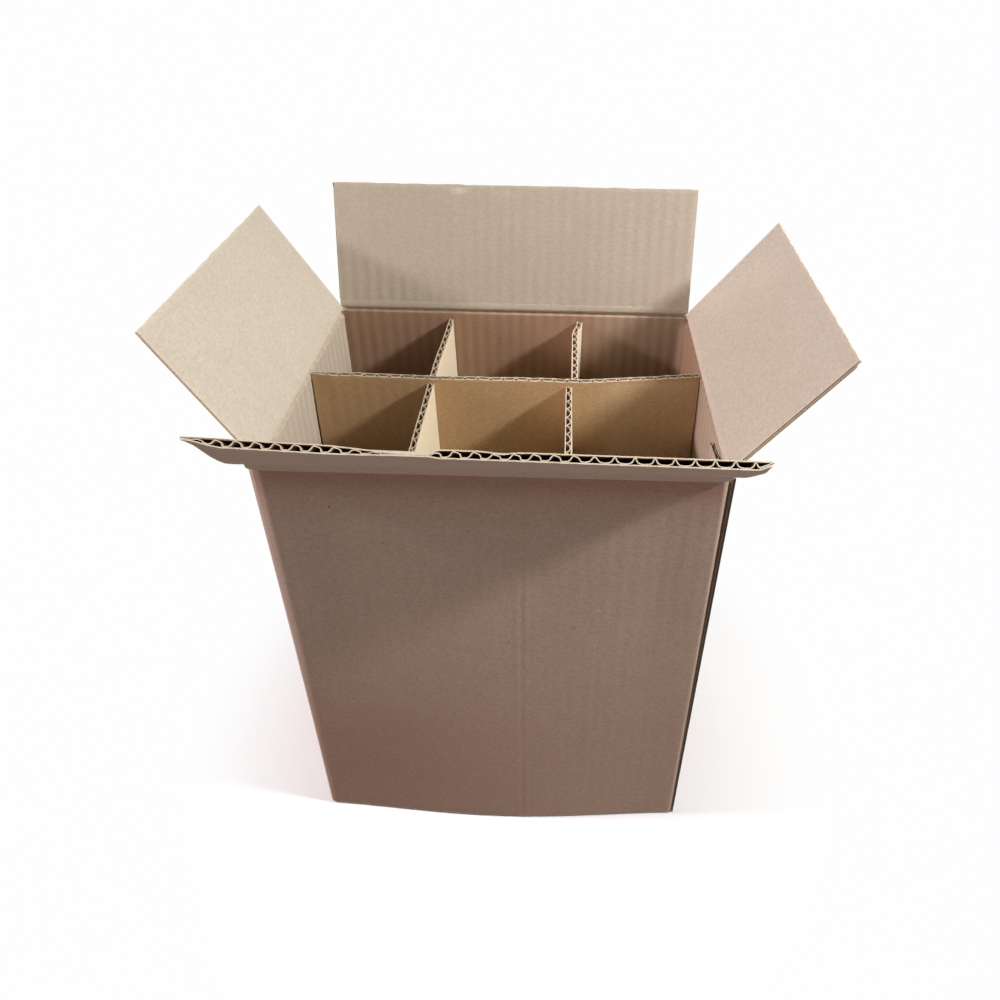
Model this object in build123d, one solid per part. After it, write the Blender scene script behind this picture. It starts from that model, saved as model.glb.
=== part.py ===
"""Open shipping box for six bottles, folded from corrugated board, with a slotted divider inside.

The box is one folded blank: four walls, a glue tab at the front right corner and a closed bottom.
Its four top flaps stand open. The divider is one long board crossed by two short ones.
X runs along the long side, the front is at -Y, Z is up, and the origin is the middle of the base.
"""

import os
from math import radians, tan

from build123d import *

# Inside of the box: three bottles along X, two along Y
inside_width = 250.0
inside_depth = 170.0
inside_height = 314.0

# Box board: two flat liners with a wavy medium between them
board = 4.0
flute_pitch = 8.5
liner = 0.5
medium = 0.5

# Folds and creases
fold_radius = 3.2
bottom_fold_radius = 2.5
inner_fold_radius = 0.8
crease_gap = 0.36
hinge_offset = 0.15
crushed_root = 9.0

# Top flaps: their clearances, and how far each leans out from upright
flap_meeting_gap = 1.3
long_flap_inset = 6.0
side_flap_clearance = 1.0
closed_flap_gap = 0.3
front_lean_angle = 45.5
back_lean_angle = 2.5
left_lean_angle = 30.0
right_lean_angle = 37.0

# Bottom flaps, folded in and glued: the side pair lies on the long pair
bottom_layer_gap = 0.3
bottom_meeting_gap = 0.3
corner_foot_z = 0.3

# Glue tab: the front panel's end, folded back along the inside of the right wall
tab_width = 38.0
tab_taper_angle = 15.0
tab_top_clearance = 0.4
tab_lift = 6.0
tab_glue_gap = 0.3
tab_glue_start = 5.0
raw_edge_setback = 0.6
raw_edge_depth = 2.4
tab_flute_depth = 22.0

# Divider boards and the clearances they stand with
divider_board = 4.0
divider_pitch = 8.1
divider_headroom = 0.35
divider_seat_gap = 0.3
divider_end_gap = 1.0
outer_cell = 76.0
cross_drop = 3.0
cross_back_gap = 0.5
cross_front_gap = 9.5
slot_clearance = 0.3

# Places worked out from the sizes above
outside_width = inside_width + 2 * board
outside_depth = inside_depth + 2 * board
right_side = outside_width / 2
back_side = outside_depth / 2
floor_top = 2 * board + bottom_layer_gap
side_crease_z = floor_top + inside_height + board + hinge_offset
long_crease_z = side_crease_z + board + closed_flap_gap
corner_top_z = side_crease_z - crease_gap
flap_length = back_side + hinge_offset - flap_meeting_gap / 2
side_flap_width = inside_depth - 2 * side_flap_clearance
joint_fold_x = right_side - board - tab_glue_gap
long_flap_left = -right_side + long_flap_inset
long_flap_right = right_side - long_flap_inset
front_flap_right = joint_fold_x - fold_radius
divider_bottom_z = floor_top + divider_seat_gap
divider_top_z = floor_top + inside_height - divider_headroom
cross_top_z = divider_top_z - cross_drop
cross_x = inside_width / 2 - divider_end_gap - outer_cell - divider_board / 2
cross_length = inside_depth - cross_back_gap - cross_front_gap
long_divider_y = (cross_front_gap - cross_back_gap) / 2


def flute_openings(across, thickness, pitch):
    """Outlines of the gaps between the medium and the two liners, in a board seen end on.

    The board spans X by `across` and Y by `thickness`, both centred. Each gap has its wide side
    on one liner and its nose over the other, so the material left between gaps is the wave.
    """
    wide, middle, nose = 0.40 * pitch, 0.21 * pitch, 0.09 * pitch
    half_height = thickness / 2 - liner
    half_gap = [(wide, half_height), (middle, 0), (nose, medium - half_height)]
    outline = half_gap + [(-x, y) for x, y in reversed(half_gap)]
    count = int(across / pitch) + 2
    openings = []
    for half_step in range(-count, count + 1):
        side = 1 if half_step % 2 else -1
        centre = half_step * pitch / 2
        if abs(centre) - middle < across / 2:
            points = [(centre + x, side * y) for x, y in outline]
            openings.append(make_face(Polyline(*points, close=True)))
    return openings


def fluted_board(across, along, thickness, pitch):
    """Board with open flutes that run its whole length: X across, Y thick, both centred, Z from 0."""
    section = Rectangle(across, thickness) - flute_openings(across, thickness, pitch)
    return extrude(section, along)


def profile_prism(points, plane, length):
    """Prism whose profile is drawn on `plane` and which reaches `length` along its normal."""
    outline = make_face(Polyline(*points, close=True))
    return extrude(plane * outline, length)


def across_x(points, x_start, x_end):
    """Prism with a (y, z) profile, from x_start to x_end."""
    return profile_prism(points, Plane.YZ.offset(x_start), x_end - x_start)


def across_y(points, y_start, y_end):
    """Prism with an (x, z) profile, from y_start to y_end."""
    plane = Plane(origin=(0, y_start, 0), x_dir=(-1, 0, 0), z_dir=(0, 1, 0))
    return profile_prism([(-x, z) for x, z in points], plane, y_end - y_start)


def wall_ring():
    """The four walls in plan, with rounded folds at three corners and the glued joint at the fourth."""
    left, front = -right_side, -back_side
    inner_x, inner_y = right_side - board, back_side - board
    glue_y = front + tab_glue_start
    fold = fold_radius
    outer = [
        Line((left + fold, front), (joint_fold_x - fold, front)),
        CenterArc((joint_fold_x - fold, front + fold), fold, 270, 90),
        Polyline(
            (joint_fold_x, front + fold),
            (joint_fold_x, glue_y),
            (inner_x, glue_y),
            (inner_x, front + raw_edge_setback),
            (right_side, front + raw_edge_setback),
            (right_side, back_side - fold),
        ),
        CenterArc((right_side - fold, back_side - fold), fold, 0, 90),
        Line((right_side - fold, back_side), (left + fold, back_side)),
        CenterArc((left + fold, back_side - fold), fold, 90, 90),
        Line((left, back_side - fold), (left, front + fold)),
        CenterArc((left + fold, front + fold), fold, 180, 90),
    ]
    tab_inner_x = inner_x - board
    stub_y = glue_y + board
    inner = Polyline(
        (-inner_x, -inner_y),
        (tab_inner_x, -inner_y),
        (tab_inner_x, stub_y),
        (inner_x, stub_y),
        (inner_x, inner_y),
        (-inner_x, inner_y),
        close=True,
    )
    hollow = make_face(inner)
    rows = hollow.vertices().group_by(Axis.Y)
    return make_face(outer) - fillet(rows[0] + rows[-1], inner_fold_radius)


def bottom_long_flap(start, end):
    """Lower end of the front wall and the flap folded under it, from the front to the middle."""
    front, radius = -back_side, bottom_fold_radius
    inner_y = front + board
    join_z = floor_top + bottom_fold_radius
    edges = [
        Line((front, join_z), (front, radius)),
        CenterArc((front + radius, radius), radius, 180, 90),
        Polyline(
            (front + radius, 0),
            (-bottom_meeting_gap / 2, 0),
            (-bottom_meeting_gap / 2, board),
            (inner_y, board),
            (inner_y, join_z),
            (front, join_z),
        ),
    ]
    return extrude(Plane.YZ.offset(start) * make_face(edges), end - start)


def bottom_side_flap():
    """Lower end of the left wall and the flap folded in over the long flaps."""
    left, radius = -right_side, bottom_fold_radius
    base = board + bottom_layer_gap
    end_x = left + flap_length
    join_z = floor_top + board
    edges = [
        Line((left, join_z), (left, base + radius)),
        CenterArc((left + radius, base + radius), radius, 180, 90),
        Polyline(
            (left + radius, base),
            (end_x, base),
            (end_x, floor_top),
            (left + board, floor_top),
            (left + board, join_z),
            (left, join_z),
        ),
    ]
    plane = Plane(origin=(0, side_flap_width / 2, 0), x_dir=(1, 0, 0), z_dir=(0, -1, 0))
    return extrude(plane * make_face(edges), side_flap_width)


def glue_tab():
    """Tab inside the right wall, tapered at both ends, with its flutes open along the sloping top."""
    outer_x = right_side - board
    root_y = -back_side + tab_glue_start
    end_y = -back_side + tab_width
    slope = tan(radians(tab_taper_angle))
    top_z = corner_top_z - board - tab_top_clearance
    low_z = floor_top + tab_lift
    fall = slope * (end_y - root_y)
    tab = across_x(
        [(root_y, low_z), (end_y, low_z + fall), (end_y, top_z - fall), (root_y, top_z)],
        outer_x - board,
        outer_x,
    )
    solid_root = 2 * board
    fluted_width = end_y - root_y - solid_root
    openings = Sketch() + flute_openings(fluted_width, board, flute_pitch)
    middle_y = (root_y + solid_root + end_y) / 2
    place = Pos(outer_x - board / 2, middle_y, top_z - tab_flute_depth) * Rot(0, 0, 90)
    reach = Pos(outer_x - board / 2, middle_y) * Rectangle(board, fluted_width)
    flutes = extrude(place * openings, tab_flute_depth)
    return tab - (flutes & extrude(reach, top_z))


def wall_top(crease_z, outer_y, start, end):
    """Raised top of a long wall: mitred so that the closed flap lies against it."""
    inner_y = outer_y - board if outer_y > 0 else outer_y + board
    top_z = crease_z - crease_gap
    low_z = corner_top_z - board
    profile = [(outer_y, low_z), (outer_y, top_z), (inner_y, top_z - board), (inner_y, low_z)]
    return across_x(profile, start, end)


def side_mitre_cutter():
    """Wedge over the right wall's crease, which leaves the wall's top sloping down to the inside."""
    inner_x = right_side - board
    clear_x, clear_z = inner_x - 2 * board, corner_top_z + board
    profile = [
        (right_side, corner_top_z),
        (inner_x, corner_top_z - board),
        (clear_x, corner_top_z - board),
        (clear_x, clear_z),
        (right_side, clear_z),
    ]
    return across_y(profile, -side_flap_width / 2, side_flap_width / 2)


def box_between(low, high):
    """Box from its lowest corner to its highest."""
    size = [b - a for a, b in zip(low, high)]
    return Pos(*low) * Box(*size, align=(Align.MIN, Align.MIN, Align.MIN))


def bottom_clearance():
    """What the bottom flaps' folds and the glue tab's lower end leave free under the walls."""
    inner_x, inner_y = right_side - board, back_side - board
    half_side, side_top = side_flap_width / 2, board + bottom_layer_gap + bottom_fold_radius
    tab_root_y = -back_side + tab_glue_start + board
    return [
        box_between((long_flap_left, -back_side, 0), (front_flap_right, -inner_y, bottom_fold_radius)),
        box_between((long_flap_left, inner_y, 0), (long_flap_right, back_side, bottom_fold_radius)),
        box_between((-right_side, -half_side, 0), (-inner_x, half_side, side_top)),
        box_between((inner_x, -half_side, 0), (right_side, half_side, side_top)),
        box_between((inner_x - board, -inner_y, 0), (inner_x, tab_root_y, floor_top + tab_lift)),
    ]


def make_carton():
    """The folded blank without its top flaps."""
    walls = extrude(Pos(0, 0, corner_foot_z) * wall_ring(), corner_top_z - corner_foot_z)
    walls -= bottom_clearance()
    walls -= side_mitre_cutter()
    walls -= mirror(side_mitre_cutter(), Plane.YZ)
    walls += wall_top(long_crease_z, -back_side, long_flap_left, front_flap_right)
    walls += wall_top(long_crease_z, back_side, long_flap_left, long_flap_right)
    walls += bottom_long_flap(long_flap_left, front_flap_right)
    walls += mirror(bottom_long_flap(long_flap_left, long_flap_right), Plane.XZ)
    walls += bottom_side_flap()
    walls += mirror(bottom_side_flap(), Plane.YZ)
    walls += glue_tab()
    raw_edge = Pos(right_side - board / 2, -back_side + raw_edge_setback, 0) * Box(
        board - 2 * liner,
        2 * raw_edge_depth,
        corner_top_z,
        align=(Align.CENTER, Align.CENTER, Align.MIN),
    )
    return walls - raw_edge


def upright_flap(width):
    """Flap standing upright on its crease: hinge axis on X, outer face just inside it, Z along the flap."""
    outer_y, inner_y = hinge_offset, hinge_offset + board
    mitre = [(inner_y, crease_gap + board), (outer_y, crease_gap)]
    root = across_x([(outer_y, crushed_root), (inner_y, crushed_root), *mitre], -width / 2, width / 2)
    blade = fluted_board(width, flap_length - crushed_root, board, flute_pitch)
    return root + Pos(0, (outer_y + inner_y) / 2, crushed_root) * blade


def place_flap(flap, axis_point, facing, lean):
    """Turns a flap so that its outer side faces the given way, and leans it out about its crease."""
    return Pos(*axis_point) * Rot(0, 0, facing) * Rot(lean, 0, 0) * flap


def make_long_divider():
    """Long board between the two rows, slotted from below where the cross boards pass."""
    height = divider_top_z - divider_bottom_z
    length = inside_width - 2 * divider_end_gap
    divider = fluted_board(length, height, divider_board, divider_pitch)
    slot = Box(
        divider_board + 2 * slot_clearance,
        2 * divider_board,
        height / 2 + slot_clearance,
        align=(Align.CENTER, Align.CENTER, Align.MIN),
    )
    divider -= [Pos(x, 0, 0) * slot for x in (-cross_x, cross_x)]
    return Pos(0, long_divider_y, divider_bottom_z) * divider


def make_cross_divider(x):
    """Short board across the box, slotted from above so that the long one drops into it."""
    height = cross_top_z - divider_bottom_z
    slot_bottom = (divider_top_z - divider_bottom_z) / 2 - slot_clearance
    divider = fluted_board(cross_length, height, divider_board, divider_pitch)
    divider -= Pos(0, 0, slot_bottom) * Box(
        divider_board + 2 * slot_clearance,
        2 * divider_board,
        height - slot_bottom,
        align=(Align.CENTER, Align.CENTER, Align.MIN),
    )
    return Pos(x, long_divider_y, divider_bottom_z) * Rot(0, 0, 90) * divider


def make_parts():
    """Every piece by its name."""
    axis_x, axis_y = right_side + hinge_offset, back_side + hinge_offset
    front_width = front_flap_right - long_flap_left
    front_middle = (front_flap_right + long_flap_left) / 2
    back_width = long_flap_right - long_flap_left
    side_flap = upright_flap(side_flap_width)
    return {
        "carton": make_carton(),
        "front_flap": place_flap(
            upright_flap(front_width), (front_middle, -axis_y, long_crease_z), 0, front_lean_angle
        ),
        "back_flap": place_flap(upright_flap(back_width), (0, axis_y, long_crease_z), 180, back_lean_angle),
        "left_flap": place_flap(side_flap, (-axis_x, 0, side_crease_z), -90, left_lean_angle),
        "right_flap": place_flap(side_flap, (axis_x, 0, side_crease_z), 90, right_lean_angle),
        "long_divider": make_long_divider(),
        "left_cross_divider": make_cross_divider(-cross_x),
        "right_cross_divider": make_cross_divider(cross_x),
    }


os.makedirs("parts", exist_ok=True)
for name, part in make_parts().items():
    export_step(part, f"parts/{name}.step")
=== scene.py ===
"""Looks of the open bottle shipping box: corrugated board with real flutes, bent creases, light and camera."""
import math

import bpy
import numpy as np
from mathutils import Matrix, Vector


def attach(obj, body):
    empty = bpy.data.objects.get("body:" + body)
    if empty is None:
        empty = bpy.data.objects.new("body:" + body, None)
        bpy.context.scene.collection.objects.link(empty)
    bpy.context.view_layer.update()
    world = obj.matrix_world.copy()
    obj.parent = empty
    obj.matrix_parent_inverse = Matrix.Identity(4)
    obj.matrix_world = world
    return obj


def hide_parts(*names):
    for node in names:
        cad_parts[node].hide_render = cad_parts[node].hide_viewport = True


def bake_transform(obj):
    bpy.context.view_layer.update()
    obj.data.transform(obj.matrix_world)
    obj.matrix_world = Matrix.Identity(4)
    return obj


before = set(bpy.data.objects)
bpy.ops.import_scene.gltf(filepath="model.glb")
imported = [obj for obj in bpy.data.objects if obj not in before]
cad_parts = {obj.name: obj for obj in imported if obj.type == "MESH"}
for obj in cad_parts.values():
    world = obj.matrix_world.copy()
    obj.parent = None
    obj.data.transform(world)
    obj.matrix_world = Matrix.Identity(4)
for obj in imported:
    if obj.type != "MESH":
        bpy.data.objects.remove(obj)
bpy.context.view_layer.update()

MM = 0.001

# Board, in millimetres
BOARD = 4.0
LINER = 0.55
MEDIUM = 0.5
PITCH = 8.5
DIVIDER_PITCH = 8.1
PRESSED = 1.6  # what is left of the board along a crease
SQUEEZED = 1.4  # what the knife leaves at least
FLAT = 1.2  # crushed as far as it goes

# Box
RIGHT, BACK = 129.0, 89.0
FLOOR_TOP = 8.3
SIDE_Z, LONG_Z = 326.45, 330.75  # hinge axes
HINGE_OUT = 0.15  # how far they lie outside the walls
AXIS_X, AXIS_Y = RIGHT + HINGE_OUT, BACK + HINGE_OUT
SIDE_TOP, LONG_TOP, CORNER_TOP = SIDE_Z - 4.4, LONG_Z - 6.1, 326.09
WALL = 326.0  # height that bulges and folds are shared out over
FLAP = 88.5
LONG_HALF, SIDE_HALF = 123.0, 84.0
FRONT_RIGHT = 121.5  # the front flap ends here, beside the glue tab
FOLD = 3.2  # radius between two walls
TAB_X, TAB_END, TAB_TOP = 124.85, -48.0, 321.69
RAW_EDGE_SHADOW_WIDTH = 2.6  # width of the outer strip at the raw edge painted near black, as shadow

# Places in each list of materials
FACE, CUT, INSIDE, WAVE_CUT, INNER_FACE, SIDE_FACE = range(6)


def smooth(t):
    """Goes softly from 0 to 1 while t does."""
    t = np.clip(t, 0.0, 1.0)
    return t * t * (3 - 2 * t)


def bump(x, middle, width):
    """Bell curve, 1 at the middle."""
    return np.exp(-(((x - middle) / width) ** 2))


def waves(seed, s, d, scale, count=8):
    """Smooth irregular field of about -1 to 1, the same at each run."""
    rng = np.random.default_rng(seed)
    total = 0.0
    for _ in range(count):
        turn, phase = rng.uniform(0, 2 * math.pi, 2)
        w = 2 * math.pi / scale * rng.uniform(0.5, 1.6)
        total = total + np.cos(w * (s * math.cos(turn) + d * math.sin(turn)) + phase)
    return total / math.sqrt(count)


def line(*points):
    """Places along a line: (start, end, count) triples joined without repeats."""
    out = []
    for start, end, count in points:
        out.extend(np.linspace(start, end, count))
    return np.array(sorted(set(np.round(out, 4))))


# One flute, from knot to knot: where along it the paper lies, and how near to the outer liner.
# The even one is a plain wave, and the falling side of the leaning one is steep.
KNOTS = np.linspace(0, 1, 13)
EVEN_PLACE = (0, 0.035, 0.065, 0.10, 0.16, 0.28, 0.50, 0.72, 0.84, 0.90, 0.935, 0.965, 1)
EVEN_RISE = (1, 0.96, 0.80, 0.50, 0.25, 0.06, 0, 0.06, 0.25, 0.50, 0.80, 0.96, 1)
LEAN_PLACE = (0, 0.12, 0.24, 0.35, 0.405, 0.40, 0.43, 0.52, 0.66, 0.78, 0.87, 0.94, 1)
LEAN_RISE = (1, 0.95, 0.84, 0.68, 0.45, 0.22, 0.06, 0, 0, 0.06, 0.30, 0.68, 1)


class Shape:
    """Collects closed shells of quads, then becomes one mesh."""

    def __init__(self):
        self.verts, self.quads, self.mats, self.coords, self.wear_and_painted_light = [], [], [], [], []
        self.count = 0

    def slab(self, low, high, s, d, wear_and_painted_light, mask=None, mats=(FACE, FACE, CUT), shade=None):
        """A closed sheet between two grids of points, in millimetres s along the board and d up it.
        `mats` are those of the low face, the high face and the cut edges; `shade` marks columns whose cut edges take
        the inside colour as painted shade."""
        rows, cols = low.shape[:2]
        up = rows * cols
        grid = np.arange(up).reshape(rows, cols)
        if mask is None:
            mask = np.ones((rows - 1, cols - 1), bool)
        a, b, c, e = grid[:-1, :-1], grid[:-1, 1:], grid[1:, 1:], grid[1:, :-1]
        quads = [np.stack([a, e, c, b], -1)[mask], np.stack([a, b, c, e], -1)[mask] + up]
        mat = [np.broadcast_to(m, mask.shape)[mask] for m in mats[:2]]
        pad = np.zeros((rows + 1, cols + 1), bool)
        pad[1:-1, 1:-1] = mask
        sides = (
            (mask & ~pad[:-2, 1:-1], a, b),
            (mask & ~pad[1:-1, 2:], b, c),
            (mask & ~pad[2:, 1:-1], c, e),
            (mask & ~pad[1:-1, :-2], e, a),
        )
        dark = np.broadcast_to(False if shade is None else shade, mask.shape)
        for edge, p, q in sides:
            p, q = p[edge], q[edge]
            quads.append(np.stack([p, q, q + up, p + up], -1))
            mat.append(np.where(dark[edge], INSIDE, mats[2]))
        quads = np.concatenate(quads)
        points = np.concatenate([low.reshape(-1, 3), high.reshape(-1, 3)])
        corner = points[quads]
        volume = np.einsum("ij,ij->i", corner[:, 0], np.cross(corner[:, 1], corner[:, 2])).sum()
        volume += np.einsum("ij,ij->i", corner[:, 0], np.cross(corner[:, 2], corner[:, 3])).sum()
        if volume < 0:
            quads = quads[:, ::-1]
        used, flat = np.unique(quads, return_inverse=True)
        coords = np.stack([np.broadcast_to(s, low.shape[:2]), np.broadcast_to(d, low.shape[:2])], -1).reshape(-1, 2)
        worn = np.broadcast_to(wear_and_painted_light, low.shape[:2]).reshape(-1)
        self.verts.append(points[used])
        self.coords.append(np.concatenate([coords, coords])[used])
        self.wear_and_painted_light.append(np.concatenate([worn, worn])[used])
        self.quads.append(flat.reshape(-1, 4) + self.count)
        self.mats.append(np.concatenate(mat))
        self.count += len(used)

    def board(
        self, outer, inner, s, d, pitch=PITCH, phase=0.0, lean=0.0, relief=0.06,
        mask=None, wear_and_painted_light=0.0, close=0.0, core=None, shade=(None, None), face=FACE,
    ):
        """Corrugated board between two faces: two liners, and a wave of thin paper glued between them.
        `lean` goes from an even wave at 0 to a leaning one at 1, and `close` presses the wave onto the inner liner.
        `relief` is how far the liners sink between the flutes. `core` masks the wave where it differs from `mask`.
        `shade` marks columns whose cut edges take the dark inside colour as painted shade, on the outer and on the
        inner liner."""
        thick = np.maximum(np.linalg.norm(inner - outer, axis=2) / MM, FLAT)
        x = (s / pitch + phase) % 1.0
        sink_out = relief * (0.5 + 0.5 * np.cos(2 * math.pi * x)) / thick
        sink_in = relief * (0.5 - 0.5 * np.cos(2 * math.pi * x)) / thick

        def at(n):
            return outer + (inner - outer) * n[..., None]

        liner = LINER / thick
        self.slab(at(sink_out), at(sink_out + liner), s, d, wear_and_painted_light, mask, (face, INSIDE, CUT), shade[0])
        self.slab(at(1 - sink_in - liner), at(1 - sink_in), s, d, wear_and_painted_light, mask, (INSIDE, INNER_FACE, CUT), shade[1])
        place = np.interp(x, KNOTS, EVEN_PLACE) * (1 - lean) + np.interp(x, KNOTS, LEAN_PLACE) * lean
        rise = np.interp(x, KNOTS, EVEN_RISE) * (1 - lean) + np.interp(x, KNOTS, LEAN_RISE) * lean
        glued = LINER + MEDIUM * 0.45  # the middle of the paper where it touches a liner
        height = glued + (1 - (1 - rise) * (1 - close)) * np.maximum(thick - 2 * glued, 0.05)
        along = np.gradient(outer, axis=1)
        shift = (place - x) * pitch
        step = np.maximum(np.linalg.norm(along, axis=2) / MM + np.gradient(shift, axis=1), 0.12)
        along = along / np.maximum(np.linalg.norm(along, axis=2), 1e-9)[..., None]
        through = (inner - outer) / MM / thick[..., None]
        slope = np.gradient(height, axis=1) / np.maximum(step, 1e-6)
        length = np.sqrt(1 + slope**2)
        half = MEDIUM * 0.5 * np.minimum(1.0, thick / BOARD + 0.2)

        def wave(sign):
            across = shift - sign * half * slope / length
            depth = np.clip(height + sign * half / length, LINER * 0.9, thick - LINER * 0.9)
            return outer + along * (across * MM)[..., None] + through * (depth * MM)[..., None]

        self.slab(wave(-1), wave(1), s, d, wear_and_painted_light, mask if core is None else core, (INSIDE, INSIDE, WAVE_CUT))

    def object(self, name, materials, angle=35.0):
        """The mesh, with its places on the board as UV, in metres, and its wear and its painted light and shade as an
        attribute.
        """
        verts, quads, mats, coords, wear_and_painted_light = map(
            np.concatenate, (self.verts, self.quads, self.mats, self.coords, self.wear_and_painted_light)
        )
        mesh = bpy.data.meshes.new(name)
        mesh.vertices.add(len(verts))
        mesh.vertices.foreach_set("co", verts.astype(np.float32).ravel())
        mesh.loops.add(quads.size)
        mesh.loops.foreach_set("vertex_index", quads.astype(np.int32).ravel())
        mesh.polygons.add(len(quads))
        mesh.polygons.foreach_set("loop_start", np.arange(0, quads.size, 4, dtype=np.int32))
        mesh.polygons.foreach_set("material_index", mats.astype(np.int32))
        mesh.update(calc_edges=True)
        layer = mesh.uv_layers.new(name="board")
        layer.data.foreach_set("uv", (coords[quads.ravel()] * MM).astype(np.float32).ravel())
        attribute = mesh.attributes.new("wear_and_painted_light", "FLOAT", "POINT")
        attribute.data.foreach_set("value", wear_and_painted_light.astype(np.float32))
        mesh.shade_smooth()
        mesh.set_sharp_from_angle(angle=math.radians(angle))
        obj = bpy.data.objects.new(name, mesh)
        bpy.context.scene.collection.objects.link(obj)
        for m in materials:
            mesh.materials.append(m)
        return obj


# ---------------------------------------------------------------- materials
def node_adder(tree):
    """A function that adds a node to the tree, with sockets linked to its inputs and numbers set on them."""
    tree.nodes.clear()

    def add(kind, inputs=None, **settings):
        node = tree.nodes.new(kind)
        for key, value in settings.items():
            setattr(node, key, value)
        for key, value in (inputs or {}).items():
            if isinstance(value, bpy.types.NodeSocket):
                tree.links.new(value, node.inputs[key])
            else:
                node.inputs[key].default_value = value
        return node

    return add


def new_material(name):
    material = bpy.data.materials.new(name)
    material.use_nodes = True
    return material, node_adder(material.node_tree)


def tinted(tone, *factors):
    """A tone made darker or paler: by one factor, or by one each for red, green and blue."""
    factors = factors * 3 if len(factors) == 1 else factors
    return tuple(min(1.0, c * k) for c, k in zip(tone, factors)) + (1,)


def kraft(
    name, tones, scale=1.0, streak=0.5, speck=0.5, mottle=0.5, offset=(0.0, 0.0),
    worn=0.35, deep=None, flute=None, spots=(),
):
    """Kraft paper in three tones (base, dark, light): cloudy, with fibres, specks and paler worn edges.
    Below 0 the attribute tints it `deep`: painted shade where `deep` is below 1, painted light where it is above 1.
    `flute` is the pitch and strength of a washboard tone, partly the paper's own and partly painted shade of the
    flutes."""
    base, dark, light = tones
    material, add = new_material(name)
    uv = add("ShaderNodeUVMap", uv_map="board").outputs["UV"]
    moved = add("ShaderNodeVectorMath", {0: uv, 1: offset + (0.0,)}, operation="ADD").outputs[0]

    def calc(operation, *values):
        return add("ShaderNodeMath", dict(enumerate(values)), operation=operation).outputs[0]

    def times(a, b):
        return calc("MULTIPLY", a, b)

    def noise(size, detail=4.0, rough=0.55, stretch=(1, 1, 1)):
        vector = add("ShaderNodeVectorMath", {0: moved, 1: stretch}, operation="MULTIPLY").outputs[0]
        inputs = {"Vector": vector, "Scale": size, "Detail": detail, "Roughness": rough}
        return add("ShaderNodeTexNoise", inputs).outputs["Fac"]

    def ramp(value, low, high):
        return add("ShaderNodeMapRange", {"Value": value, "From Min": low, "From Max": high}).outputs["Result"]

    def mix(amount, a, b, blend="MIX"):
        return add("ShaderNodeMix", {0: amount, 6: a, 7: b}, data_type="RGBA", blend_type=blend).outputs[2]

    clouds = noise(22 * scale, 3.0, 0.5)
    patches = noise(75 * scale, 4.0, 0.6)
    blotch = noise(330 * scale, 3.0, 0.65)
    fibre = noise(420 * scale, 5.0, 0.7, (0.7, 1.3, 1))
    grain = noise(1250 * scale, 2.0, 0.65)
    colour = mix(times(ramp(clouds, 0.3, 0.7), mottle), tinted(base, 1), tinted(dark, 1))
    colour = mix(times(ramp(patches, 0.35, 0.75), mottle * 0.9), colour, tinted(light, 1))
    colour = mix(times(ramp(blotch, 0.45, 0.75), mottle), colour, tinted(dark, 0.86, 0.84, 0.80))
    colour = mix(times(ramp(fibre, 0.42, 0.7), streak), colour, tinted(base, 0.72))
    colour = mix(times(ramp(grain, 0.43, 0.66), streak), colour, tinted(light, 1.1))
    if flute:
        # Washboard: the flutes behind the paper show as faint bands, stronger here and weaker there; partly the
        # paper's own tone at the crests, partly painted shade of their relief
        pitch, strength = flute
        along = add("ShaderNodeSeparateXYZ", {0: uv}).outputs[0]
        band = calc("MULTIPLY_ADD", calc("SINE", times(along, 2 * math.pi / (pitch * MM))), 0.5, 0.5)
        band = times(band, ramp(noise(14, 2.0, 0.5), 0.3, 0.65))
        colour = mix(times(band, strength), colour, tinted(dark, 0.74, 0.70, 0.66))
    cells = add("ShaderNodeTexVoronoi", {"Vector": moved, "Scale": 190 * scale, "Randomness": 1.0}, feature="F1")
    pick = add("ShaderNodeTexWhiteNoise", {"Vector": cells.outputs["Position"]}, noise_dimensions="3D")
    chosen = calc("GREATER_THAN", pick.outputs["Value"], 0.955)
    dot = ramp(cells.outputs["Distance"], 0.10, 0.05)
    colour = mix(times(times(dot, chosen), speck), colour, tinted(base, 0.25))
    place = add("ShaderNodeTexCoord").outputs["Object"] if spots else None
    for x, z, size, tone in spots:
        # With y cut to 0.02 of itself, the front wall lies level with the spot and the back wall 3.6 mm off
        flat = add("ShaderNodeVectorMath", {0: place, 1: (1.0, 0.02, 1.0)}, operation="MULTIPLY").outputs[0]
        spot = (x * MM, -0.0018, z * MM)
        away = add("ShaderNodeVectorMath", {0: flat, 1: spot}, operation="DISTANCE").outputs["Value"]
        colour = mix(ramp(away, size * MM, size * 0.4 * MM), colour, tinted(base, tone))
    wear_and_painted_light = add("ShaderNodeAttribute", attribute_name="wear_and_painted_light").outputs["Fac"]
    # Painted light and shade: where the attribute is below 0 the colour is multiplied by `deep`
    if deep:
        colour = mix(ramp(wear_and_painted_light, 0.0, -1.0), colour, deep + (1,), "MULTIPLY")
    rubbed = times(calc("MAXIMUM", wear_and_painted_light, 0.0), ramp(noise(600, 3.0, 0.6), 0.3, 0.6))
    colour = mix(times(rubbed, worn), colour, tinted(light, 1.25))
    height = calc("ADD", times(fibre, 0.6), times(grain, 0.4))
    normal = add("ShaderNodeBump", {"Height": height, "Strength": 0.35, "Distance": 0.00025}).outputs["Normal"]
    rough = add("ShaderNodeMapRange", {"Value": patches, "To Min": 0.82, "To Max": 0.97}).outputs["Result"]
    inputs = {"Base Color": colour, "Roughness": rough, "Normal": normal, "Specular IOR Level": 0.22}
    add("ShaderNodeOutputMaterial", {0: add("ShaderNodeBsdfPrincipled", inputs).outputs[0]})
    return material


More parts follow.
